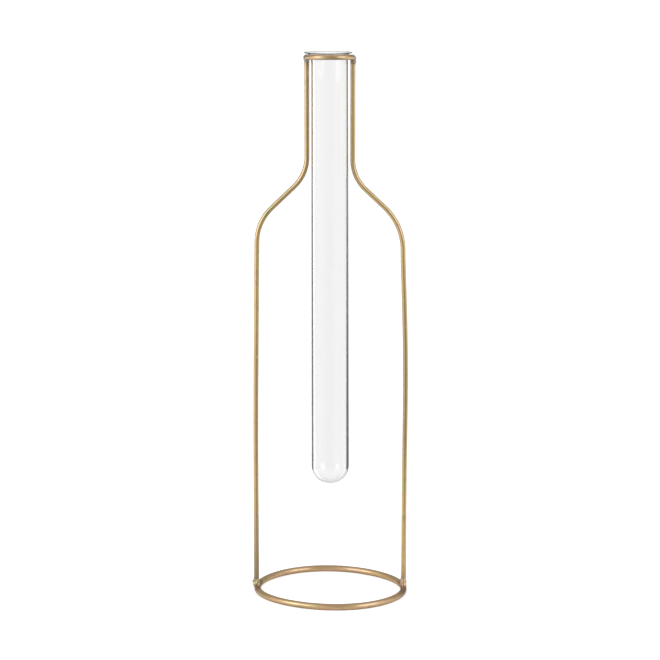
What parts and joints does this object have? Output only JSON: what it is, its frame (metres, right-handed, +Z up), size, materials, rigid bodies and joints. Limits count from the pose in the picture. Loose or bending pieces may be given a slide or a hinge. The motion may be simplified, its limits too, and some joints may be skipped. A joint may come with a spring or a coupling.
{
  "type": "test tube bud vase with wire stand",
  "caption": "Free-standing bud vase: a round-bottomed glass test tube hung by its flared lip in a brass wire stand bent to the outline of a bottle.",
  "frame": {"origin": "on the table, at the middle of the hoop that the stand rests on, under the tube's axis", "axes": "+Z up along the tube's axis towards its mouth; the two side wires lie along X, the left one on -X; a viewer in front looks along +Y"},
  "size_m": [0.0917, 0.091, 0.32],
  "materials": {
    "brass_wire": "aged satin brass with uneven patina",
    "braze": "satin brass, slightly lumpy",
    "glass": "clear, fire-polished rim"
  },
  "bodies": {
    "stand": {"base_ring": "brass_wire", "neck_ring": "brass_wire", "left_side_wire": "brass_wire", "right_side_wire": "brass_wire", "left_base_braze": "braze", "right_base_braze": "braze", "left_neck_braze": "braze", "right_neck_braze": "braze"},
    "tube": {"glass_tube": "glass"}
  },
  "joints": [
    {"name": "tube_lift", "type": "slide", "parent": "stand", "child": "tube", "axis": [0, 0, 1], "range_m": [0, 0.26]}
  ]
}
